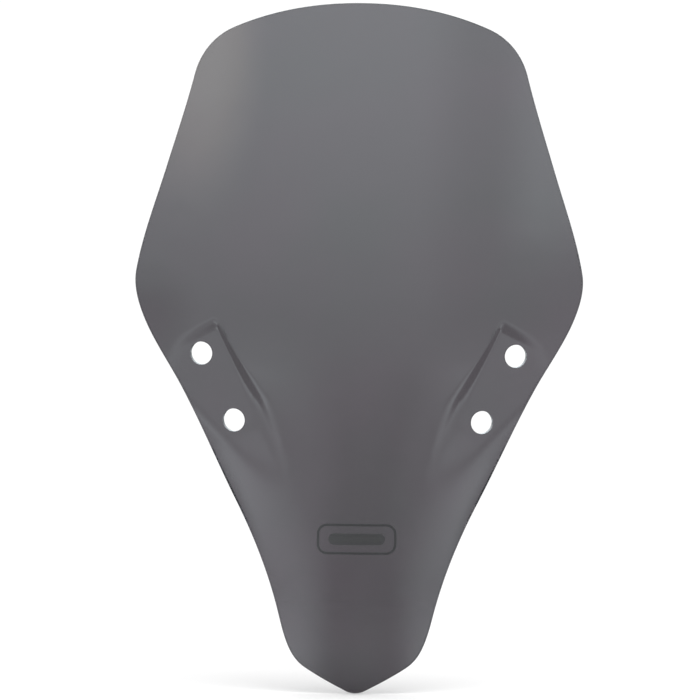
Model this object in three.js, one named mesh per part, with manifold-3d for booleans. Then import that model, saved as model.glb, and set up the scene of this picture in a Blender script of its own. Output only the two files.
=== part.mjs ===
// A motorcycle windshield screen: one thermoformed sheet of smoke-tinted acrylic with two flat
// mounting pads pressed into its flanks, four plain holes, and a plain two-piece film badge.
//
// Frame, in millimetres: +Z up the screen, X across it, the outer convex face towards -Y.
// The origin is the centre of the four-hole pattern, level with the rear faces of the two pads.

import * as THREE from 'three';
import { mergeVertices } from 'three/addons/utils/BufferGeometryUtils.js';
import Module from 'manifold-3d';

// Sheet
const SHEET_THICKNESS = 4;
const BODY_RADIUS = 330; // side-to-side bow of the broad upper part
const TONGUE_RADIUS = 120; // tighter bow of the narrow tongue
const BODY_FROM_Z = 20; // the bow is BODY_RADIUS from here up
const TONGUE_FROM_Z = -160; // and TONGUE_RADIUS from here down
const PROFILE_RADIUS = 1100; // slight bow from top to bottom
const CROWN_Z = 40; // height of the foremost point of the centre line
const CROWN_Y = -30; // how far it stands in front of the mounting pads

// Outline of the right half, from the top centre to the tip: x, z and the heading in degrees
const OUTLINE = [
  [0, 301, 0],
  [101, 282, -23],
  [131, 246, -76],
  [153, 171, -73],
  [176, 91, -80],
  [171, 58, -111],
  [140, 2, -119],
  [95, -90, -117],
  [61, -178, -104],
  [52, -206, -116],
  [40, -220, -147],
  [7, -238.5, -153],
  [0, -240, -180],
];
const OUTLINE_STEPS = 6; // straight steps to each stretch of the outline

// Mounting pads and holes
const PAD_X = 109; // distance of each pad's centre from the centre line
const PAD_SLOPE_X = 0.28; // how fast a pad falls back towards the edge
const PAD_SLOPE_Z = -0.1; // how fast it comes forward going up
const HOLE_DIAMETER = 18;
const HOLE_PITCH_X = 26; // lower hole to upper hole, across
const HOLE_PITCH_Z = 52; // lower hole to upper hole, up
const HOLE_SIDES = 32;

// Moulded crease: the wall along the inner side of each pad's recess. "Along" runs up the line
// through a pad's two holes, from midway between them, and the wall widens on its way down.
const WALL_FOOT = 18.8; // from that line to the foot of the wall
const WALL_FOOT_LOW = 12; // and beside the lower hole, where the wall spreads out
const WALL_TOP = 40; // along, at the top of the wall
const WALL_TOP_WIDTH = 3;
const WALL_LOW = -18; // along, where it starts to spread out
const WALL_LOW_WIDTH = 9;
const WALL_SPREAD = 18; // how much wider it is at the end of the spread
const WALL_SPREAD_LENGTH = 34;
const WALL_HEIGHT = 5.5;
const WALL_ROUNDING = 0.4; // share of the width that its rounded edges take

// Soft ends of the recess. Its lower end turns up beside the pad, where it runs out the crease.
const LOWER_END_FROM = -41; // along, where the recess starts to close below the lower hole
const LOWER_END_TO = -95; // and where it is closed
const LOWER_END_BESIDE = 18; // from the line through the holes to where that end turns up
const LOWER_END_LEAN = 4; // how far up it turns for each step further inboard
const LOWER_END_BLEND = 6; // rounding of the turn
const UPPER_END_FROM = 40; // the same above the upper hole
const UPPER_END_TO = 51;
const PAD_RIM_BLEND = 1.5; // rounding where a pad runs out into the bowed sheet

// Badge of two films, centred on the tongue
const BADGE_Z = -118;
const BADGE_WIDTH = 62;
const BADGE_HEIGHT = 24;
const BADGE_CORNER = 8;
const BORDER_WIDTH = 1.8;
const FIELD_WIDTH = 44;
const FIELD_HEIGHT = 9;
const FILM_THICKNESS = 0.4;
const FILM_GAP = 0.3;

// Fineness of the curved surfaces
const CHORD_ERROR = 0.25;
const LONGEST_EDGE = 60;
const SHORTEST_EDGE = 2;
const TRIM_MARGIN = 1.5;

const wasm = await Module();
wasm.setup();

// ---- The sheet's surface ----

const hypot = Math.hypot;
const holePitch = hypot(HOLE_PITCH_X, HOLE_PITCH_Z);
const alongX = HOLE_PITCH_X / holePitch;
const alongZ = HOLE_PITCH_Z / holePitch;

function ease(t) {
  const u = Math.min(Math.max(t, 0), 1);
  return u * u * (3 - 2 * u);
}

function softMax(a, b, blend) {
  const h = Math.max(blend - Math.abs(a - b), 0) / blend;
  return Math.max(a, b) + (h * h * blend) / 4;
}

function softMin(a, b, blend) {
  return -softMax(-a, -b, blend);
}

// How far back a surface with this slope moves when it is set back by depth square to itself.
function setBack(depth, slopeX, slopeZ) {
  return depth * hypot(1, slopeX, slopeZ);
}

// The bowed sheet without its pads.
function bowedSheet(x, z, depth) {
  const tongue = 1 / TONGUE_RADIUS;
  const body = 1 / BODY_RADIUS;
  const share = ease((z - TONGUE_FROM_Z) / (BODY_FROM_Z - TONGUE_FROM_Z));
  const radius = 1 / (tongue + (body - tongue) * share);
  const fall = Math.sqrt(Math.max(radius * radius - x * x, (radius / 4) ** 2));
  const profile = (z - CROWN_Z) ** 2 / (2 * PROFILE_RADIUS);
  const slopeZ = (z - CROWN_Z) / PROFILE_RADIUS;
  return CROWN_Y + profile + radius - fall + setBack(depth, x / fall, slopeZ);
}

// 0 inboard of the crease's wall, 1 outboard of it. The wall leans, so it lies further inboard
// the deeper it is cut.
function wallShare(along, outward, depth) {
  const spread = ease((WALL_LOW - along) / WALL_SPREAD_LENGTH);
  const down = Math.max(WALL_TOP - along, 0) / (WALL_TOP - WALL_LOW);
  const taper = (WALL_LOW_WIDTH - WALL_TOP_WIDTH) * down ** 1.5;
  const width = WALL_TOP_WIDTH + taper + WALL_SPREAD * spread;
  const foot = WALL_FOOT + (WALL_FOOT_LOW - WALL_FOOT) * spread;
  const slope = WALL_HEIGHT / width;
  const shift = (depth * slope) / (1 + hypot(1, slope));
  const across = (outward + foot + width + shift) / width;
  return softMin(softMax(across, 0, WALL_ROUNDING), 1, WALL_ROUNDING);
}

// y of the sheet at (x, z), set back by depth from its outer face: 0 is the outer face and
// SHEET_THICKNESS the rear one. A pad is the plane through (PAD_X, 0, 0) on the rear face.
function sheetY(x, z, depth) {
  const side = Math.abs(x) - PAD_X;
  const along = side * alongX + z * alongZ;
  const outward = side * alongZ - z * alongX;
  const bowed = bowedSheet(Math.abs(x), z, depth);
  const padSetBack = setBack(depth - SHEET_THICKNESS, PAD_SLOPE_X, PAD_SLOPE_Z);
  const pad = PAD_SLOPE_X * side + PAD_SLOPE_Z * z + padSetBack;
  const recess = softMax(bowed, pad, PAD_RIM_BLEND) - bowed;
  const beside = softMax(-outward - LOWER_END_BESIDE, 0, LOWER_END_BLEND);
  const turned = along - LOWER_END_LEAN * beside;
  const lowerEnd = ease((turned - LOWER_END_TO) / (LOWER_END_FROM - LOWER_END_TO));
  const upperEnd = ease((UPPER_END_TO - along) / (UPPER_END_TO - UPPER_END_FROM));
  return bowed + recess * wallShare(along, outward, depth) * lowerEnd * upperEnd;
}

function sheetPoint(x, z, depth) {
  return new THREE.Vector3(x, sheetY(x, z, depth), z);
}

// Unit normal of the outer face, pointing away from the rider.
function sheetNormal(x, z) {
  const step = 0.5;
  const slopeX = (sheetY(x + step, z, 0) - sheetY(x - step, z, 0)) / (2 * step);
  const slopeZ = (sheetY(x, z + step, 0) - sheetY(x, z - step, 0)) / (2 * step);
  return new THREE.Vector3(slopeX, -1, slopeZ).normalize();
}

// ---- Solids ----

function geometryOf(positions, triangles) {
  const geometry = new THREE.BufferGeometry();
  geometry.setAttribute('position', new THREE.Float32BufferAttribute(positions, 3));
  geometry.setIndex(triangles);
  return geometry;
}

function solidOf(geometry) {
  const bare = geometry.clone();
  bare.deleteAttribute('normal');
  bare.deleteAttribute('uv');
  const merged = mergeVertices(bare, 1e-4);
  const vertProperties = new Float32Array(merged.attributes.position.array);
  const triVerts = new Uint32Array(merged.index.array);
  return new wasm.Manifold(new wasm.Mesh({ numProp: 3, vertProperties, triVerts }));
}

function meshOf(name, solid, material) {
  const { vertProperties, triVerts } = solid.getMesh();
  const geometry = geometryOf(vertProperties, Array.from(triVerts));
  geometry.computeVertexNormals();
  const mesh = new THREE.Mesh(geometry, material);
  mesh.name = name;
  return mesh;
}

// Whether the straight edge between two points [x, z] strays from the sheet.
function strays(a, b) {
  const length = hypot(b[0] - a[0], b[1] - a[1]);
  if (length > LONGEST_EDGE) return true;
  if (length < 2 * SHORTEST_EDGE) return false;
  const start = sheetY(a[0], a[1], 0);
  const end = sheetY(b[0], b[1], 0);
  for (let t = 0.125; t < 1; t += 0.125) {
    const onSheet = sheetY(a[0] + (b[0] - a[0]) * t, a[1] + (b[1] - a[1]) * t, 0);
    if (Math.abs(onSheet - start - (end - start) * t) > CHORD_ERROR) return true;
  }
  return false;
}

const middle = (p, q) => [(p[0] + q[0]) / 2, (p[1] + q[1]) / 2];
const edgeKey = (p, q) => [p.join(), q.join()].sort().join(' ');
const edgesOf = ([a, b, c]) => [[a, b], [b, c], [c, a]];

// The triangle's corners, turned so that its longest edge is the first one.
function longestFirst([a, b, c]) {
  const length = ([p, q]) => hypot(q[0] - p[0], q[1] - p[1]);
  const [ab, bc, ca] = edgesOf([a, b, c]).map(length);
  if (ab >= bc && ab >= ca) return [a, b, c];
  return bc >= ca ? [b, c, a] : [c, a, b];
}

// Splits a triangle at the middle of its longest edge, and its other marked edges from there.
function splitTriangle(corners, marked) {
  const [p, q, r] = longestFirst(corners);
  if (!marked.has(edgeKey(p, q))) return [corners];
  const centre = middle(p, q);
  return [[q, r], [r, p]].flatMap(([a, b]) => {
    if (!marked.has(edgeKey(a, b))) return [[centre, a, b]];
    return [[centre, a, middle(a, b)], [centre, middle(a, b), b]];
  });
}

// Splits edges at their middles until none strays. Neighbours share their marked edges, so the
// net stays closed, and a triangle that is split at all is split at its longest edge.
function refine(triangles) {
  const marked = new Set();
  for (const [p, q] of triangles.flatMap(edgesOf)) {
    if (strays(p, q)) marked.add(edgeKey(p, q));
  }
  if (marked.size === 0) return triangles;
  let before = 0;
  while (marked.size > before) {
    before = marked.size;
    for (const corners of triangles) {
      if (!edgesOf(corners).some(([p, q]) => marked.has(edgeKey(p, q)))) continue;
      const [p, q] = longestFirst(corners);
      marked.add(edgeKey(p, q));
    }
  }
  return refine(triangles.flatMap((corners) => splitTriangle(corners, marked)));
}

// Triangles over both mirrored halves of the area |x| <= halfWidth, low <= z <= high.
function netOver(halfWidth, low, high) {
  const half = [];
  const a = [0, low];
  const b = [halfWidth, low];
  const c = [halfWidth, high];
  const d = [0, high];
  half.push([a, b, c], [a, c, d]);
  const right = refine(half);
  const left = right.map(([p, q, r]) => [r, q, p].map(([x, z]) => [-x, z]));
  return [...right, ...left];
}

// A closed blank that follows the sheet between two depths, over a rectangle of x and z.
function sheetBlank(halfWidth, low, high, outerDepth, innerDepth) {
  const positions = [];
  const triangles = [];
  const known = new Map();
  const vertex = ([x, z], depth) => {
    const key = `${x},${z},${depth}`;
    if (!known.has(key)) {
      known.set(key, positions.length / 3);
      positions.push(x, sheetY(x, z, depth), z);
    }
    return known.get(key);
  };
  const onRim = (p, q) =>
    (Math.abs(p[0]) === halfWidth && p[0] === q[0]) ||
    (p[1] === low && q[1] === low) ||
    (p[1] === high && q[1] === high);
  for (const corners of netOver(halfWidth, low, high)) {
    const outer = corners.map((p) => vertex(p, outerDepth));
    const inner = corners.map((p) => vertex(p, innerDepth));
    triangles.push(outer[0], outer[1], outer[2]);
    triangles.push(inner[2], inner[1], inner[0]);
    for (let i = 0; i < 3; i += 1) {
      const j = (i + 1) % 3;
      if (!onRim(corners[i], corners[j])) continue;
      triangles.push(outer[i], inner[i], inner[j]);
      triangles.push(outer[i], inner[j], outer[j]);
    }
  }
  return solidOf(geometryOf(positions, triangles));
}

// ---- Screen panel ----

// A curve from one outline point to the next that leaves and arrives on their headings.
function outlineStretch([x0, z0, heading0], [x1, z1, heading1]) {
  const start = new THREE.Vector2(x0, z0);
  const end = new THREE.Vector2(x1, z1);
  const from = THREE.MathUtils.degToRad(heading0);
  const to = THREE.MathUtils.degToRad(heading1);
  const reach = start.distanceTo(end) / (3 * Math.cos((to - from) / 4) ** 2);
  const leave = new THREE.Vector2(Math.cos(from), Math.sin(from)).multiplyScalar(reach);
  const arrive = new THREE.Vector2(Math.cos(to), Math.sin(to)).multiplyScalar(-reach);
  return new THREE.CubicBezierCurve(start, leave.add(start), arrive.add(end), end);
}

function outlinePoints() {
  const path = new THREE.CurvePath();
  for (let i = 1; i < OUTLINE.length; i += 1) {
    path.add(outlineStretch(OUTLINE[i - 1], OUTLINE[i]));
  }
  const right = path.getPoints(OUTLINE_STEPS);
  const left = right
    .slice(1, -1)
    .reverse()
    .map((p) => new THREE.Vector2(-p.x, p.y));
  return [...right, ...left].reverse();
}

// A plug with the screen's outline, whose sides stand square to the sheet where they cut it.
function trimPlug() {
  const outline = outlinePoints();
  const count = outline.length;
  const edgeRing = (depth) =>
    outline.map((p) => sheetPoint(p.x, p.y, 0).addScaledVector(sheetNormal(p.x, p.y), -depth));
  const front = edgeRing(-TRIM_MARGIN);
  const back = edgeRing(SHEET_THICKNESS + TRIM_MARGIN);
  const reach = 200;
  const foremost = front.map((p) => new THREE.Vector3(p.x, -reach, p.z));
  const rearmost = back.map((p) => new THREE.Vector3(p.x, reach, p.z));
  const rings = [foremost, front, back, rearmost];

  const positions = rings.flat().flatMap((p) => [p.x, p.y, p.z]);
  const triangles = [];
  for (let ring = 0; ring < rings.length - 1; ring += 1) {
    for (let i = 0; i < count; i += 1) {
      const j = (i + 1) % count;
      const a = ring * count + i;
      const b = ring * count + j;
      triangles.push(a, a + count, b + count, a, b + count, b);
    }
  }
  const capOf = (ring) =>
    THREE.ShapeUtils.triangulateShape(
      ring.map((p) => new THREE.Vector2(p.x, p.z)),
      [],
    );
  for (const [a, b, c] of capOf(foremost)) triangles.push(a, b, c);
  const last = count * (rings.length - 1);
  for (const [a, b, c] of capOf(rearmost)) triangles.push(last + c, last + b, last + a);
  return solidOf(geometryOf(positions, triangles));
}

// A round drill through one hole, square to its pad.
function holeDrill(side, end) {
  const drill = new THREE.CylinderGeometry(HOLE_DIAMETER / 2, HOLE_DIAMETER / 2, 60, HOLE_SIDES);
  const axis = new THREE.Vector3(side * PAD_SLOPE_X, -1, PAD_SLOPE_Z).normalize();
  const turn = new THREE.Quaternion().setFromUnitVectors(new THREE.Vector3(0, 1, 0), axis);
  drill.applyQuaternion(turn);
  const stepX = (end * HOLE_PITCH_X) / 2;
  const stepZ = (end * HOLE_PITCH_Z) / 2;
  const rearY = PAD_SLOPE_X * stepX + PAD_SLOPE_Z * stepZ;
  drill.translate(side * (PAD_X + stepX), rearY, stepZ);
  return solidOf(drill);
}

function screenPanel() {
  const halfWidth = 200;
  const low = -270;
  const high = 330;
  let solid = sheetBlank(halfWidth, low, high, 0, SHEET_THICKNESS).intersect(trimPlug());
  for (const side of [-1, 1]) {
    for (const end of [-1, 1]) {
      solid = solid.subtract(holeDrill(side, end));
    }
  }
  const smokeAcrylic = new THREE.MeshStandardMaterial({
    color: 0x2e2c30,
    roughness: 0.06,
    metalness: 0,
    transparent: true,
    opacity: 0.82,
  });
  return meshOf('screen_panel', solid, smokeAcrylic);
}

// ---- Badge ----

function roundedRectangle(width, height, corner) {
  const x = width / 2;
  const z = height / 2;
  const shape = new THREE.Shape();
  shape.absarc(x - corner, z - corner, corner, 0, Math.PI / 2);
  shape.absarc(corner - x, z - corner, corner, Math.PI / 2, Math.PI);
  shape.absarc(corner - x, corner - z, corner, Math.PI, 1.5 * Math.PI);
  shape.absarc(x - corner, corner - z, corner, 1.5 * Math.PI, 2 * Math.PI);
  shape.closePath();
  return shape;
}

// A straight punch along Y with this shape, drawn in x and z about the badge's centre.
function badgePunch(shape) {
  const depth = 80;
  const punch = new THREE.ExtrudeGeometry(shape, { depth, bevelEnabled: false, curveSegments: 8 });
  punch.rotateX(Math.PI / 2);
  punch.translate(0, depth / 2 + CROWN_Y, BADGE_Z);
  return solidOf(punch);
}

function badgeFilm(name, shape, material) {
  const margin = 6;
  const halfWidth = BADGE_WIDTH / 2 + margin;
  const low = BADGE_Z - BADGE_HEIGHT / 2 - margin;
  const high = BADGE_Z + BADGE_HEIGHT / 2 + margin;
  const outer = -FILM_GAP - FILM_THICKNESS;
  const film = sheetBlank(halfWidth, low, high, outer, -FILM_GAP);
  return meshOf(name, film.intersect(badgePunch(shape)), material);
}

function badgeBorder() {
  const shape = roundedRectangle(BADGE_WIDTH, BADGE_HEIGHT, BADGE_CORNER);
  const inset = 2 * BORDER_WIDTH;
  const inner = [BADGE_WIDTH - inset, BADGE_HEIGHT - inset, BADGE_CORNER - BORDER_WIDTH];
  shape.holes.push(roundedRectangle(...inner));
  const darkFilm = new THREE.MeshStandardMaterial({ color: 0x141416, roughness: 0.35 });
  return badgeFilm('badge_border', shape, darkFilm);
}

function badgeField() {
  const shape = roundedRectangle(FIELD_WIDTH, FIELD_HEIGHT, FIELD_HEIGHT / 2);
  const greyFilm = new THREE.MeshStandardMaterial({ color: 0x1c1c1f, roughness: 0.4 });
  return badgeFilm('badge_field', shape, greyFilm);
}

const screen = new THREE.Group();
screen.add(screenPanel(), badgeBorder(), badgeField());

export default screen;
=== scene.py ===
"""The looks of the windshield screen: a polished smoke-acrylic sheet with two pressed mounting pads,
four drilled holes and a plain badge, on a pale studio floor. Units are metres unless a name ends in MM.
"""

import math

import bpy
import numpy as np
from mathutils import Matrix, Vector, geometry


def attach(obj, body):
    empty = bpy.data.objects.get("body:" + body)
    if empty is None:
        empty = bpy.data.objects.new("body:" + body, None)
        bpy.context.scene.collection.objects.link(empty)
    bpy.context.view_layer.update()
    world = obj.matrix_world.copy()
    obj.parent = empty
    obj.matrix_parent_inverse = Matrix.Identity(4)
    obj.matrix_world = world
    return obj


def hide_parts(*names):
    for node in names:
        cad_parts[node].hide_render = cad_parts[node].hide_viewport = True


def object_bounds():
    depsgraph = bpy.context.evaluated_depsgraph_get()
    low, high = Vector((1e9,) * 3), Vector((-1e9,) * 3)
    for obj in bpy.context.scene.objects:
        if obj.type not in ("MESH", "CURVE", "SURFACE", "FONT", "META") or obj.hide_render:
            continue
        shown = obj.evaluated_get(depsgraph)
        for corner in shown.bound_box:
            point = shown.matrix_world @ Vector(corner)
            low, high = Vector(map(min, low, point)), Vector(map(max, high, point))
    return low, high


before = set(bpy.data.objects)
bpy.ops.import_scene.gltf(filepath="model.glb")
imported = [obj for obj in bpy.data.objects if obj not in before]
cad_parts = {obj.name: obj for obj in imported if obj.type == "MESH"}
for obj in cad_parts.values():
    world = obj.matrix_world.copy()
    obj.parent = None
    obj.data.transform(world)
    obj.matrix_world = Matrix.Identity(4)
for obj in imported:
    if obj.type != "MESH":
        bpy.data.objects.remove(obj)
cad_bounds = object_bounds()
scene = bpy.context.scene

MM = 0.001

# ---- The sheet's shape, as in the CAD model ----

SHEET_THICKNESS_MM = 4.0
BODY_RADIUS_MM = 330.0
TONGUE_RADIUS_MM = 120.0
BODY_FROM_Z_MM = 20.0
TONGUE_FROM_Z_MM = -160.0
PROFILE_RADIUS_MM = 1100.0
CROWN_Z_MM = 40.0
CROWN_Y_MM = -30.0

# x, z and heading in degrees of the right half of the outline, from the top centre to the tip
OUTLINE = [
    (0, 301, 0),
    (101, 282, -23),
    (131, 246, -76),
    (153, 171, -73),
    (176, 91, -80),
    (171, 58, -111),
    (140, 2, -119),
    (95, -90, -117),
    (61, -178, -104),
    (52, -206, -116),
    (40, -220, -147),
    (7, -238.5, -153),
    (0, -240, -180),
]
PAD_X_MM = 109.0
PAD_SLOPE_X = 0.28
PAD_SLOPE_Z = -0.1
HOLE_RADIUS_MM = 9.0
HOLE_PITCH_X_MM = 26.0
HOLE_PITCH_Z_MM = 52.0

WALL_FOOT_MM = 18.8
WALL_FOOT_LOW_MM = 12.0
WALL_TOP_MM = 40.0
WALL_TOP_WIDTH_MM = 3.0
WALL_LOW_MM = -18.0
WALL_LOW_WIDTH_MM = 9.0
WALL_SPREAD_MM = 18.0
WALL_SPREAD_LENGTH_MM = 34.0
WALL_HEIGHT_MM = 5.5
WALL_ROUNDING = 0.4
LOWER_END_FROM_MM = -41.0
LOWER_END_TO_MM = -95.0
LOWER_END_BESIDE_MM = 18.0
LOWER_END_LEAN = 4.0
LOWER_END_BLEND_MM = 6.0
UPPER_END_FROM_MM = 40.0
UPPER_END_TO_MM = 51.0
PAD_RIM_BLEND_MM = 1.5

# Round the middle of a pad, along the line through its holes and outward from it: up to the first
# distance cut edges stand square to the flat pad, and past the second to the bowed sheet
SQUARE_ALONG_MM = (41.0, 54.0)
SQUARE_OUTWARD_MM = (11.0, 20.0)

# ---- Fineness of the visible mesh ----

SLOPE_STEP_MM = 0.05
NEAR_PAD_ALONG_MM = (-62.0, 62.0)
NEAR_PAD_OUTWARD_MM = (-36.0, 34.0)
COARSE_STEP_MM = 4.0
FINE_STEP_MM = 1.3
EDGE_STEP_MM = 2.0
EDGE_ROUND_MM = 0.25
HOLE_ROUND_MM = 0.2
HOLE_SIDES = 72
ROUND_STEPS = 5

# ---- Badge ----

BADGE_Z_MM = -118.0
BADGE_WIDTH_MM = 62.0
BADGE_HEIGHT_MM = 24.0
BADGE_CORNER_MM = 8.0
BORDER_WIDTH_MM = 1.8
FIELD_WIDTH_MM = 44.0
FIELD_HEIGHT_MM = 9.0
FILM_MM = 0.16
FILM_GAP_MM = 0.05
FILM_STEP_MM = 1.0

# ---- Camera ----

CAMERA_DISTANCE = 3.0
VIEW_WIDTH = 0.5478  # what the picture takes in, level with the pads
CAMERA_AIM_X = -0.0067
CAMERA_AIM_DROP = 0.0013  # below mid-height
CAMERA_ROLL_DEG = 0.6
SENSOR_WIDTH_MM = 36.0


def make_camera():
    """A long lens straight in front of the screen, rolled a little."""
    low, high = cad_bounds
    data = bpy.data.cameras.new("camera")
    data.sensor_width = SENSOR_WIDTH_MM
    data.lens = SENSOR_WIDTH_MM * CAMERA_DISTANCE / VIEW_WIDTH
    data.clip_end = 100
    camera = bpy.data.objects.new("camera", data)
    scene.collection.objects.link(camera)
    aim_z = (low[2] + high[2]) / 2 - CAMERA_AIM_DROP
    place = Matrix.Translation((CAMERA_AIM_X, -CAMERA_DISTANCE, aim_z))
    ahead = Matrix.Rotation(math.radians(90), 4, "X")
    roll = Matrix.Rotation(math.radians(CAMERA_ROLL_DEG), 4, "Z")
    camera.matrix_world = place @ (ahead @ roll)
    scene.camera = camera


# ---- The sheet's surface ----

HOLE_PITCH_MM = math.hypot(HOLE_PITCH_X_MM, HOLE_PITCH_Z_MM)
ALONG_X = HOLE_PITCH_X_MM / HOLE_PITCH_MM
ALONG_Z = HOLE_PITCH_Z_MM / HOLE_PITCH_MM


def ease(t):
    t = np.clip(t, 0, 1)
    return t * t * (3 - 2 * t)


def soft_max(a, b, blend):
    h = np.maximum(blend - np.abs(a - b), 0) / blend
    return np.maximum(a, b) + h * h * blend / 4


def soft_min(a, b, blend):
    return -soft_max(-a, -b, blend)


def set_back(depth, slope_x, slope_z):
    """How far back a surface with this slope moves when it is set back square to itself."""
    return depth * np.sqrt(1 + slope_x**2 + slope_z**2)


def bowed_sheet(x, z, depth):
    """y of the sheet without its pads."""
    share = ease((z - TONGUE_FROM_Z_MM) / (BODY_FROM_Z_MM - TONGUE_FROM_Z_MM))
    radius = 1 / (1 / TONGUE_RADIUS_MM + (1 / BODY_RADIUS_MM - 1 / TONGUE_RADIUS_MM) * share)
    fall = np.sqrt(np.maximum(radius**2 - x**2, (radius / 4) ** 2))
    profile = (z - CROWN_Z_MM) ** 2 / (2 * PROFILE_RADIUS_MM)
    slope_z = (z - CROWN_Z_MM) / PROFILE_RADIUS_MM
    return CROWN_Y_MM + profile + radius - fall + set_back(depth, x / fall, slope_z)


def pad_position(x, z):
    """A point's place by the nearer pad: across from its middle, along the line through its holes,
    and outward from that line."""
    side = np.abs(x) - PAD_X_MM
    return side, side * ALONG_X + z * ALONG_Z, side * ALONG_Z - z * ALONG_X


def wall_share(along, outward, depth):
    """0 inboard of the crease's wall, 1 outboard of it."""
    spread = ease((WALL_LOW_MM - along) / WALL_SPREAD_LENGTH_MM)
    down = np.maximum(WALL_TOP_MM - along, 0) / (WALL_TOP_MM - WALL_LOW_MM)
    taper = (WALL_LOW_WIDTH_MM - WALL_TOP_WIDTH_MM) * down**1.5
    width = WALL_TOP_WIDTH_MM + taper + WALL_SPREAD_MM * spread
    foot = WALL_FOOT_MM + (WALL_FOOT_LOW_MM - WALL_FOOT_MM) * spread
    slope = WALL_HEIGHT_MM / width
    shift = depth * slope / (1 + np.sqrt(1 + slope**2))
    across = (outward + foot + width + shift) / width
    return soft_min(soft_max(across, 0, WALL_ROUNDING), 1, WALL_ROUNDING)


def sheet_y(x, z, depth):
    """y of the sheet, in millimetres, set back by depth from its outer face."""
    side, along, outward = pad_position(x, z)
    bowed = bowed_sheet(x, z, depth)
    pad_set_back = set_back(depth - SHEET_THICKNESS_MM, PAD_SLOPE_X, PAD_SLOPE_Z)
    pad = PAD_SLOPE_X * side + PAD_SLOPE_Z * z + pad_set_back
    recess = soft_max(bowed, pad, PAD_RIM_BLEND_MM) - bowed
    beside = soft_max(-outward - LOWER_END_BESIDE_MM, 0, LOWER_END_BLEND_MM)
    turned = along - LOWER_END_LEAN * beside
    lower_end = ease((turned - LOWER_END_TO_MM) / (LOWER_END_FROM_MM - LOWER_END_TO_MM))
    upper_end = ease((UPPER_END_TO_MM - along) / (UPPER_END_TO_MM - UPPER_END_FROM_MM))
    return bowed + recess * wall_share(along, outward, depth) * lower_end * upper_end


def surface(points, depth):
    """Points and unit normals of the sheet at an array of (x, z), in millimetres. The normals
    point away from the rider."""
    x, z = points[:, 0], points[:, 1]
    step = SLOPE_STEP_MM
    slope_x = (sheet_y(x + step, z, depth) - sheet_y(x - step, z, depth)) / (2 * step)
    slope_z = (sheet_y(x, z + step, depth) - sheet_y(x, z - step, depth)) / (2 * step)
    normals = np.stack([slope_x, -np.ones_like(x), slope_z], 1)
    normals /= np.linalg.norm(normals, axis=1)[:, None]
    return np.stack([x, sheet_y(x, z, depth), z], 1), normals


def square_lean(points):
    """The slopes that a cut square through the sheet leans by: those of the bowed sheet, and
    those of the flat pads near their holes."""
    x, z = points[:, 0], points[:, 1]
    _, along, outward = pad_position(x, z)
    step = SLOPE_STEP_MM
    bowed_x = (bowed_sheet(x + step, z, 0) - bowed_sheet(x - step, z, 0)) / (2 * step)
    bowed_z = (bowed_sheet(x, z + step, 0) - bowed_sheet(x, z - step, 0)) / (2 * step)
    on_pad = 1
    for distance, (flat, bowed) in ((along, SQUARE_ALONG_MM), (outward, SQUARE_OUTWARD_MM)):
        on_pad *= ease((bowed - np.abs(distance)) / (bowed - flat))
    lean_x = bowed_x + (np.sign(x) * PAD_SLOPE_X - bowed_x) * on_pad
    lean_z = bowed_z + (PAD_SLOPE_Z - bowed_z) * on_pad
    lean = np.stack([lean_x, lean_z], 1)
    return lean / np.sqrt(1 + lean_x**2 + lean_z**2)[:, None]


# ---- Flat outlines, as closed loops of (x, z) in millimetres ----


def bezier_stretch(start, end):
    """Points every EDGE_STEP_MM on the curve between two outline points, without the last one."""
    (x0, z0, heading0), (x1, z1, heading1) = start, end
    leave, arrive = math.radians(heading0), math.radians(heading1)
    length = math.hypot(x1 - x0, z1 - z0)
    reach = length / (3 * math.cos((arrive - leave) / 4) ** 2)
    p0, p3 = np.array([x0, z0], float), np.array([x1, z1], float)
    p1 = p0 + reach * np.array([math.cos(leave), math.sin(leave)])
    p2 = p3 - reach * np.array([math.cos(arrive), math.sin(arrive)])
    count = max(6, round(length / EDGE_STEP_MM))
    t = np.arange(count)[:, None] / count
    return (1 - t) ** 3 * p0 + 3 * (1 - t) ** 2 * t * p1 + 3 * (1 - t) * t**2 * p2 + t**3 * p3


def screen_outline():
    """The whole outline, clockwise as seen from the front."""
    stretches = [bezier_stretch(a, b) for a, b in zip(OUTLINE[:-1], OUTLINE[1:])]
    right = np.vstack(stretches)
    tip = np.array([OUTLINE[-1][:2]], float)
    left = right[1:][::-1] * [-1, 1]
    return np.vstack([right, tip, left])


def loop_directions(loop):
    """Unit tangents of a closed loop."""
    tangents = np.roll(loop, -1, 0) - np.roll(loop, 1, 0)
    return tangents / np.linalg.norm(tangents, axis=1)[:, None]


def inset(loop, distance):
    """A clockwise loop moved inwards by distance."""
    t = loop_directions(loop)
    return loop + distance * np.stack([t[:, 1], -t[:, 0]], 1)


def hole_loop(side, end):
    """The edge of a hole's flat rim on the outer face, anticlockwise as seen from the front."""
    normal = np.array([side * PAD_SLOPE_X, -1, PAD_SLOPE_Z])
    normal /= np.linalg.norm(normal)
    across = np.cross([0, 0, 1], normal)
    across /= np.linalg.norm(across)
    up = np.cross(normal, across)
    step_x, step_z = end * HOLE_PITCH_X_MM / 2, end * HOLE_PITCH_Z_MM / 2
    rear_y = PAD_SLOPE_X * step_x + PAD_SLOPE_Z * step_z
    centre = np.array([side * (PAD_X_MM + step_x), rear_y, step_z]) + normal * SHEET_THICKNESS_MM
    angle = np.arange(HOLE_SIDES)[:, None] * 2 * math.pi / HOLE_SIDES
    radius = HOLE_RADIUS_MM + HOLE_ROUND_MM
    ring = centre + radius * (np.cos(angle) * across + np.sin(angle) * up)
    return ring[:, [0, 2]]


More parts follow.
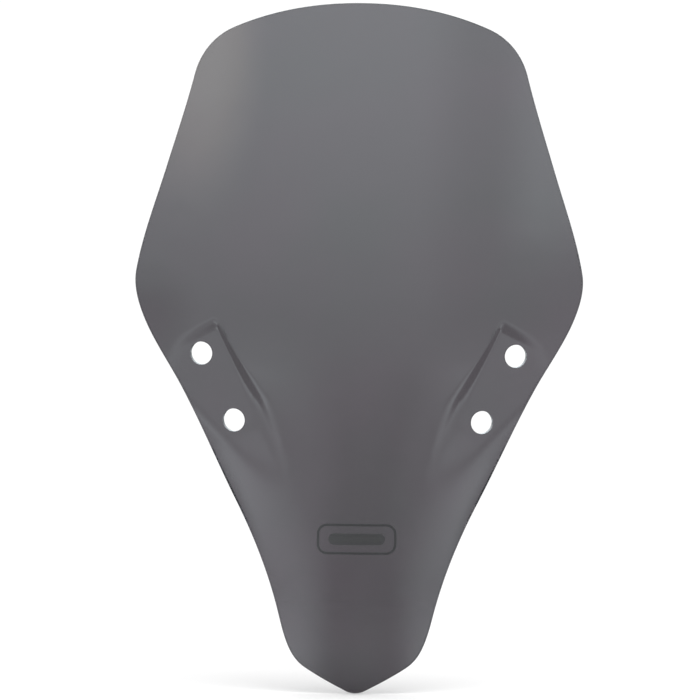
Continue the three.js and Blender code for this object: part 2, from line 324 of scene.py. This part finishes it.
def rounded_rectangle(width, height, corner, step):
    """A rounded rectangle about the badge's centre, clockwise as seen from the front."""
    points = []
    corners = [(1, 1, 90), (1, -1, 0), (-1, -1, -90), (-1, 1, -180)]
    turns = max(6, round(corner * math.pi / 2 / step))
    for sign_x, sign_z, first in corners:
        centre = np.array([sign_x * (width / 2 - corner), sign_z * (height / 2 - corner)])
        for i in range(turns + 1):
            angle = math.radians(first - 90 * i / turns)
            points.append(centre + corner * np.array([math.cos(angle), math.sin(angle)]))
    loop = []
    for a, b in zip(points, points[1:] + points[:1]):
        if np.allclose(a, b):
            continue
        parts = max(1, round(np.linalg.norm(b - a) / step))
        loop += [a + (b - a) * k / parts for k in range(parts)]
    return np.array(loop) + [0, BADGE_Z_MM]


# ---- Meshes ----


def inside(points, loop):
    """Which points lie inside a closed loop."""
    x, z = points[:, 0], points[:, 1]
    found = np.zeros(len(points), bool)
    for (x0, z0), (x1, z1) in zip(loop, np.roll(loop, -1, 0)):
        if z0 == z1:
            continue
        crosses = (z0 > z) != (z1 > z)
        found ^= crosses & (x < x0 + (z - z0) * (x1 - x0) / (z1 - z0))
    return found


def clearance(points, loops):
    """Distance from each point to the nearest point of the loops."""
    edge = np.vstack(loops)
    return np.concatenate([
        np.sqrt(((part[:, None] - edge) ** 2).sum(2)).min(1)
        for part in np.array_split(points, max(1, len(points) // 500))
    ])


def grid(low, high, step):
    xs = np.arange(low[0], high[0] + step / 2, step)
    zs = np.arange(low[1], high[1] + step / 2, step)
    return np.stack(np.meshgrid(xs, zs), -1).reshape(-1, 2)


def near_pad(points):
    """Which points lie where a pad or its crease bends the sheet."""
    _, along, outward = pad_position(points[:, 0], points[:, 1])
    near = True
    for distance, (low, high) in ((along, NEAR_PAD_ALONG_MM), (outward, NEAR_PAD_OUTWARD_MM)):
        near &= (distance > low) & (distance < high)
    return near


def triangulate(outer, holes, spots):
    """A flat net of triangles over outer less holes, through the spots. Loops come first in it."""
    loops = [outer, *holes]
    points = np.vstack([*loops, spots])
    edges, start = [], 0
    for loop in loops:
        n = len(loop)
        edges += [(start + i, start + (i + 1) % n) for i in range(n)]
        start += n
    flat = [Vector(p) for p in points]
    verts, _, faces, origins, _, _ = geometry.delaunay_2d_cdt(flat, edges, [], 0, 1e-5)
    place = {i: o[0] for i, o in enumerate(origins) if o}
    triangles = np.array([[place[i] for i in f] for f in faces])
    middles = points[triangles].mean(1)
    kept = inside(middles, outer)
    for hole in holes:
        kept &= ~inside(middles, hole)
    triangles = triangles[kept]
    a, b, c = (points[triangles[:, k]] for k in range(3))
    turn = (b[:, 0] - a[:, 0]) * (c[:, 1] - a[:, 1]) - (b[:, 1] - a[:, 1]) * (c[:, 0] - a[:, 0])
    triangles[turn < 0] = triangles[turn < 0][:, ::-1]
    return points, triangles, [len(loop) for loop in loops]


def slab(name, net, front_depth, rear_depth, rounding):
    """A closed sheet over a flat net, between two depths below the panel's outer face. Its edges
    are rounded by the amount given for each loop."""
    points, triangles, sizes = net
    thickness = rear_depth - front_depth
    front, front_normals = surface(points, front_depth)
    rear, rear_normals = surface(points - square_lean(points) * thickness, rear_depth)
    count = len(points)
    verts, vert_normals = [front, rear], [front_normals, -rear_normals]
    faces = [*triangles.tolist(), *(triangles[:, ::-1] + count).tolist()]
    start, made = 0, 2 * count
    for size, radius in zip(sizes, rounding):
        ring = np.arange(start, start + size)
        through = front[ring] - rear[ring]
        through /= np.linalg.norm(through, axis=1)[:, None]
        away = np.cross(through, front[np.roll(ring, -1)] - front[np.roll(ring, 1)])
        away /= np.linalg.norm(away, axis=1)[:, None]
        previous = ring
        for step in range(1, 2 * ROUND_STEPS + 1):
            turned = step - (step > ROUND_STEPS)
            angle = math.pi / 2 * turned / ROUND_STEPS
            base = front[ring] if step <= ROUND_STEPS else rear[ring]
            inward = radius * (1 - abs(math.cos(angle)))
            sunk = -inward if step <= ROUND_STEPS else inward
            verts.append(base + away * radius * math.sin(angle) + through * sunk)
            vert_normals.append(through * math.cos(angle) + away * math.sin(angle))
            current = np.arange(made, made + size)
            faces += quads(previous, current)
            previous = current
            made += size
        faces += quads(previous, ring + count)
        start += size
    mesh = bpy.data.meshes.new(name)
    mesh.from_pydata((np.vstack(verts) * MM).tolist(), [], faces)
    mesh.shade_smooth()
    mesh.normals_split_custom_set_from_vertices(np.vstack(vert_normals).tolist())
    mesh.update()
    obj = bpy.data.objects.new(name, mesh)
    scene.collection.objects.link(obj)
    return obj


def quads(first, second):
    """Faces between two rings of vertices, the first nearer the outer face."""
    next_first, next_second = np.roll(first, -1), np.roll(second, -1)
    return np.stack([first, next_first, next_second, second], 1).tolist()


def make_panel():
    outer = inset(screen_outline(), EDGE_ROUND_MM)
    holes = [hole_loop(side, end) for side in (-1, 1) for end in (-1, 1)]
    low, high = outer.min(0), outer.max(0)
    coarse = grid(low, high, COARSE_STEP_MM)
    coarse = coarse[~near_pad(coarse)]
    fine = grid(low, high, FINE_STEP_MM)
    fine = fine[near_pad(fine)]
    spots = np.vstack([coarse, fine])
    room = np.where(near_pad(spots), FINE_STEP_MM, COARSE_STEP_MM) * 0.6
    kept = inside(spots, outer) & (clearance(spots, [outer, *holes]) > room)
    for hole in holes:
        kept &= ~inside(spots, hole)
    net = triangulate(outer, holes, spots[kept])
    rounding = [EDGE_ROUND_MM] + [HOLE_ROUND_MM] * len(holes)
    return slab("smoke_screen", net, 0, SHEET_THICKNESS_MM, rounding)


def make_film(name, outer, holes):
    spots = grid(outer.min(0), outer.max(0), FILM_STEP_MM)
    kept = inside(spots, outer) & (clearance(spots, [outer, *holes]) > FILM_STEP_MM * 0.6)
    for hole in holes:
        kept &= ~inside(spots, hole)
    net = triangulate(outer, holes, spots[kept])
    rounding = [FILM_MM * 0.4] * (1 + len(holes))
    return slab(name, net, -FILM_GAP_MM - FILM_MM, -FILM_GAP_MM, rounding)


def make_badge():
    border = rounded_rectangle(BADGE_WIDTH_MM, BADGE_HEIGHT_MM, BADGE_CORNER_MM, FILM_STEP_MM)
    inner = rounded_rectangle(
        BADGE_WIDTH_MM - 2 * BORDER_WIDTH_MM,
        BADGE_HEIGHT_MM - 2 * BORDER_WIDTH_MM,
        BADGE_CORNER_MM - BORDER_WIDTH_MM,
        FILM_STEP_MM,
    )
    field = rounded_rectangle(FIELD_WIDTH_MM, FIELD_HEIGHT_MM, FIELD_HEIGHT_MM / 2, FILM_STEP_MM)
    return (
        make_film("badge_border_film", border, [inner[::-1]]),
        make_film("badge_field_film", field, []),
    )


# ---- Materials ----

SHEET_TINT_COOL = (0.114, 0.1115, 0.119, 1)
SHEET_TINT_WARM = (0.124, 0.1115, 0.125, 1)
SHEET_SHADOW_TINT = (0.33, 0.33, 0.34, 1)  # what each face lets through towards the floor
SMOKE_COLOUR = (0.012, 0.0, 0.035, 1)
SMOKE_DENSITY = 60.0  # per metre of sheet
ACRYLIC_IOR = 1.49
SHEET_ROUGHNESS = (0.012, 0.035)
# Relief of the polished sheet: patches to the metre along each axis, detail, and depth in metres
PRESSED_WAVES = ((16, 16, 16), 2.0, 0.00012)
HAIRLINES_ACROSS = ((12, 500, 700), 4.0, 0.0000012)
HAIRLINES_UPWARDS = ((800, 500, 15), 4.0, 0.0000008)
BORDER_SHADE = 0.035
FIELD_SHADE = 0.045
FILM_ROUGHNESS = (0.28, 0.42)
FILM_GRAIN_DEPTH = 0.000006
NOISE_RANGE = (0.3, 0.7)  # nearly all of a noise's values lie in it


def new_material(name):
    material = bpy.data.materials.new(name)
    material.use_nodes = True
    nodes = material.node_tree.nodes
    nodes.clear()
    return material, nodes, material.node_tree.links


def number_range(nodes, links, value, source, target, kind="LINEAR"):
    """A number that goes from one end of target to the other while value crosses source."""
    node = nodes.new("ShaderNodeMapRange")
    node.interpolation_type = kind
    for name, number in zip(("From Min", "From Max", "To Min", "To Max"), (*source, *target)):
        node.inputs[name].default_value = number
    links.new(value, node.inputs["Value"])
    return node.outputs[0]


def uneven(nodes, links, per_metre, low, high, detail=2.0):
    """Noise with so many patches to the metre, or to each axis of it, as a number from low to high."""
    coords = nodes.new("ShaderNodeTexCoord")
    stretch = nodes.new("ShaderNodeVectorMath")
    stretch.operation = "MULTIPLY"
    stretch.inputs[1].default_value = per_metre
    noise = nodes.new("ShaderNodeTexNoise")
    noise.inputs["Scale"].default_value = 1.0
    noise.inputs["Detail"].default_value = detail
    links.new(coords.outputs["Object"], stretch.inputs[0])
    links.new(stretch.outputs[0], noise.inputs["Vector"])
    return number_range(nodes, links, noise.outputs["Fac"], NOISE_RANGE, (low, high))


def relief(nodes, links, height, depth, under=None):
    """A bump of this depth in metres, on top of another bump."""
    bump = nodes.new("ShaderNodeBump")
    bump.inputs["Distance"].default_value = depth
    links.new(height, bump.inputs["Height"])
    if under:
        links.new(under, bump.inputs["Normal"])
    return bump.outputs[0]


def blend_colours(nodes, links, share, first, second):
    """The first colour where share is 0, the second where it is 1."""
    mix = nodes.new("ShaderNodeMix")
    mix.data_type = "RGBA"
    mix.inputs["A"].default_value = first
    mix.inputs["B"].default_value = second
    links.new(share, mix.inputs["Factor"])
    return mix.outputs["Result"]


def worn_polish(nodes, links):
    """Faint waves of the pressed sheet, and the hairlines that wiping leaves across it and up it."""
    normal = None
    for per_metre, detail, depth in (PRESSED_WAVES, HAIRLINES_ACROSS, HAIRLINES_UPWARDS):
        height = uneven(nodes, links, per_metre, 0, 1, detail)
        normal = relief(nodes, links, height, depth, normal)
    return normal


def smoke_acrylic():
    """Smoke-tinted acrylic with a little drift in its tint. Light on its way to the floor passes
    straight through it."""
    material, nodes, links = new_material("smoke_acrylic")
    output = nodes.new("ShaderNodeOutputMaterial")
    glass = nodes.new("ShaderNodeBsdfPrincipled")
    drift = uneven(nodes, links, (11, 11, 11), 0, 1)
    tint = blend_colours(nodes, links, drift, SHEET_TINT_COOL, SHEET_TINT_WARM)
    links.new(tint, glass.inputs["Base Color"])
    links.new(uneven(nodes, links, (70, 70, 70), *SHEET_ROUGHNESS, 6.0), glass.inputs["Roughness"])
    links.new(worn_polish(nodes, links), glass.inputs["Normal"])
    glass.inputs["Transmission Weight"].default_value = 1.0
    glass.inputs["IOR"].default_value = ACRYLIC_IOR
    lamp_way = nodes.new("ShaderNodeBsdfTransparent")
    lamp_way.inputs["Color"].default_value = SHEET_SHADOW_TINT
    path = nodes.new("ShaderNodeLightPath")
    mix = nodes.new("ShaderNodeMixShader")
    smoke = nodes.new("ShaderNodeVolumeAbsorption")
    smoke.inputs["Color"].default_value = SMOKE_COLOUR
    smoke.inputs["Density"].default_value = SMOKE_DENSITY
    links.new(path.outputs["Is Shadow Ray"], mix.inputs[0])
    links.new(glass.outputs[0], mix.inputs[1])
    links.new(lamp_way.outputs[0], mix.inputs[2])
    links.new(mix.outputs[0], output.inputs["Surface"])
    links.new(smoke.outputs[0], output.inputs["Volume"])
    return material


def badge_film(name, shade):
    """Dark satin printed film with a fine grain and slightly uneven ink."""
    material, nodes, links = new_material(name)
    output = nodes.new("ShaderNodeOutputMaterial")
    film = nodes.new("ShaderNodeBsdfPrincipled")
    thin_ink = (shade * 1.12, shade * 1.12, shade * 1.16, 1)
    full_ink = (shade * 0.88, shade * 0.88, shade * 0.92, 1)
    patches = uneven(nodes, links, (900, 900, 900), 0, 1, 3.0)
    height = uneven(nodes, links, (3200, 3200, 3200), 0, 1)
    grain = relief(nodes, links, height, FILM_GRAIN_DEPTH)
    links.new(blend_colours(nodes, links, patches, thin_ink, full_ink), film.inputs["Base Color"])
    links.new(uneven(nodes, links, (400, 400, 400), *FILM_ROUGHNESS, 4.0), film.inputs["Roughness"])
    links.new(grain, film.inputs["Normal"])
    links.new(film.outputs[0], output.inputs[0])
    return material


# ---- Studio ----

BACKDROP_STRENGTH = 1.05
DAYLIGHT_COLOUR = (0.93, 1.01, 1.05, 1)
PANEL_COLOUR = (1, 1, 0.98, 1)
FLOOR_RADIUS = 1.6
FLOOR_FADE = (0.35, 1.52)  # from the middle to where it starts to fade, and to where it is gone
FLOOR_SIDES = 96
FLOOR_GAP = 0.0005
FLOOR_COLOUR = (0.9, 0.9, 0.9, 1)
LIGHT_PLACE = (0.2, -0.6, 1.9)
LIGHT_AIM = (0, 0, 0.03)
LIGHT_SIZE = 1.6
LIGHT_WATTS = 18


def mirrored_room(nodes, links):
    """The room that the polished sheet mirrors: its brightness in each direction, and that of its
    left panel alone. x points right, y away from the viewer and z up."""
    coords = nodes.new("ShaderNodeTexCoord")
    split = nodes.new("ShaderNodeSeparateXYZ")
    links.new(coords.outputs["Generated"], split.inputs[0])
    x, y, z = split.outputs

    def change(value, source, target, kind="SMOOTHSTEP"):
        return number_range(nodes, links, value, source, target, kind)

    def combine(operation, *values):
        node = nodes.new("ShaderNodeMath")
        node.operation = operation
        for value, slot in zip(values, node.inputs):
            links.new(value, slot)
        return node.outputs[0]

    # A ceiling that brightens upwards, weaker to the right and in a corner low on the left
    right_share = change(x, (0.25, 0.55), (1, 0.78))
    corner = combine("MULTIPLY", change(x, (-0.7, -0.88), (0, 0.5)), change(z, (0.12, 0.03), (0, 1)))
    corner_share = change(corner, (0, 1), (1, 0), "LINEAR")
    ceiling = combine("MULTIPLY", change(z, (-0.42, 0.72), (0, 3.05)), right_share)
    ceiling = combine("MULTIPLY", ceiling, corner_share)

    # A lit panel up on either side, the left one leaning over
    leaning = combine("ADD", x, change(z, (0, 0.4), (0.18, -0.06), "LINEAR"))
    left_panel = change(leaning, (-0.46, -0.72), (0, 1))
    left_panel = combine("MULTIPLY", left_panel, change(z, (0.12, 0.37), (0, 1.5)))
    right_panel = combine("MULTIPLY", change(x, (0.6, 0.82), (0, 1)), change(z, (0.07, 0.2), (0, 0.85)))

    # A paler band on either side, level with the pads
    aside = combine("ADD", change(x, (-0.04, -0.52), (0, 1)), change(x, (0.22, 0.55), (0, 1)))
    level = combine("MULTIPLY", change(z, (-0.42, -0.15), (0, 0.85)), change(z, (-0.12, 0.05), (1, 0)))
    band = combine("MULTIPLY", aside, level)

    # Pale lower sides, on the viewer's side of the screen, and a white table top below
    low = combine("MULTIPLY", change(z, (-0.2, -0.46), (0, 1.9)), change(z, (-0.49, -0.58), (1, 0.3)))
    low = combine("MULTIPLY", low, change(y, (0.0, -0.3), (0, 1)))
    low_sides = combine("ADD", change(x, (-0.2, -0.85), (0, 1)), change(x, (0.4, 0.95), (0, 1)))
    low_sides = combine("MULTIPLY", low, low_sides)
    table = change(z, (-0.55, -0.8), (0, 1.5))

    room = table
    for part in (ceiling, left_panel, right_panel, band, low_sides):
        room = combine("ADD", room, part)
    return room, left_panel


def make_world():
    """A white studio, with a softer room in it that only the polished sheet mirrors."""
    world = bpy.data.worlds.new("studio")
    scene.world = world
    world.use_nodes = True
    nodes, links = world.node_tree.nodes, world.node_tree.links
    nodes.clear()
    output = nodes.new("ShaderNodeOutputWorld")
    room, left_panel = mirrored_room(nodes, links)
    light = blend_colours(nodes, links, left_panel, DAYLIGHT_COLOUR, PANEL_COLOUR)
    mirrored = nodes.new("ShaderNodeBackground")
    links.new(light, mirrored.inputs["Color"])
    links.new(room, mirrored.inputs["Strength"])
    white = nodes.new("ShaderNodeBackground")
    white.inputs["Color"].default_value = (1, 1, 1, 1)
    white.inputs["Strength"].default_value = BACKDROP_STRENGTH
    path = nodes.new("ShaderNodeLightPath")
    off_a_surface = nodes.new("ShaderNodeMath")
    off_a_surface.operation = "SUBTRACT"
    off_a_surface.use_clamp = True
    links.new(path.outputs["Is Glossy Ray"], off_a_surface.inputs[0])
    links.new(path.outputs["Is Transmission Ray"], off_a_surface.inputs[1])
    mix = nodes.new("ShaderNodeMixShader")
    links.new(off_a_surface.outputs[0], mix.inputs[0])
    links.new(white.outputs[0], mix.inputs[1])
    links.new(mirrored.outputs[0], mix.inputs[2])
    links.new(mix.outputs[0], output.inputs[0])


def make_floor():
    """A pale disc under the screen that fades out towards its rim."""
    turns = [2 * math.pi * i / FLOOR_SIDES for i in range(FLOOR_SIDES)]
    rim = [(FLOOR_RADIUS * math.cos(turn), FLOOR_RADIUS * math.sin(turn), 0) for turn in turns]
    faces = [(0, i + 1, (i + 1) % FLOOR_SIDES + 1) for i in range(FLOOR_SIDES)]
    mesh = bpy.data.meshes.new("floor")
    mesh.from_pydata([(0, 0, 0), *rim], [], faces)
    mesh.materials.append(fading_paper())
    floor = bpy.data.objects.new("floor", mesh)
    floor.location = (0, 0, cad_bounds[0][2] - FLOOR_GAP)
    floor.visible_glossy = False
    scene.collection.objects.link(floor)


def fading_paper():
    """White paper that gives way to nothing towards the rim."""
    material, nodes, links = new_material("floor")
    output = nodes.new("ShaderNodeOutputMaterial")
    paper = nodes.new("ShaderNodeBsdfDiffuse")
    paper.inputs["Color"].default_value = FLOOR_COLOUR
    clear = nodes.new("ShaderNodeBsdfTransparent")
    coords = nodes.new("ShaderNodeTexCoord")
    distance = nodes.new("ShaderNodeVectorMath")
    distance.operation = "LENGTH"
    links.new(coords.outputs["Object"], distance.inputs[0])
    fade = number_range(nodes, links, distance.outputs["Value"], FLOOR_FADE, (0, 1), "SMOOTHSTEP")
    mix = nodes.new("ShaderNodeMixShader")
    links.new(fade, mix.inputs[0])
    links.new(paper.outputs[0], mix.inputs[1])
    links.new(clear.outputs[0], mix.inputs[2])
    links.new(mix.outputs[0], output.inputs[0])
    return material


def make_light():
    """One broad soft light, above the screen and in front of it."""
    data = bpy.data.lights.new("overhead", "AREA")
    data.shape = "RECTANGLE"
    data.size = data.size_y = LIGHT_SIZE
    data.energy = LIGHT_WATTS
    light = bpy.data.objects.new("overhead", data)
    light.location = LIGHT_PLACE
    towards = Vector(LIGHT_AIM) - Vector(LIGHT_PLACE)
    light.rotation_euler = towards.to_track_quat("-Z", "Y").to_euler()
    scene.collection.objects.link(light)


def main():
    scene.view_settings.view_transform = "Standard"
    make_camera()
    make_world()
    make_floor()
    make_light()

    panel = make_panel()
    panel.data.materials.append(smoke_acrylic())
    border, field = make_badge()
    border.data.materials.append(badge_film("border_print", BORDER_SHADE))
    field.data.materials.append(badge_film("field_print", FIELD_SHADE))

    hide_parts("screen_panel")
    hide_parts("badge_border")
    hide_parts("badge_field")
    for piece in (panel, border, field):
        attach(piece, "root")


main()
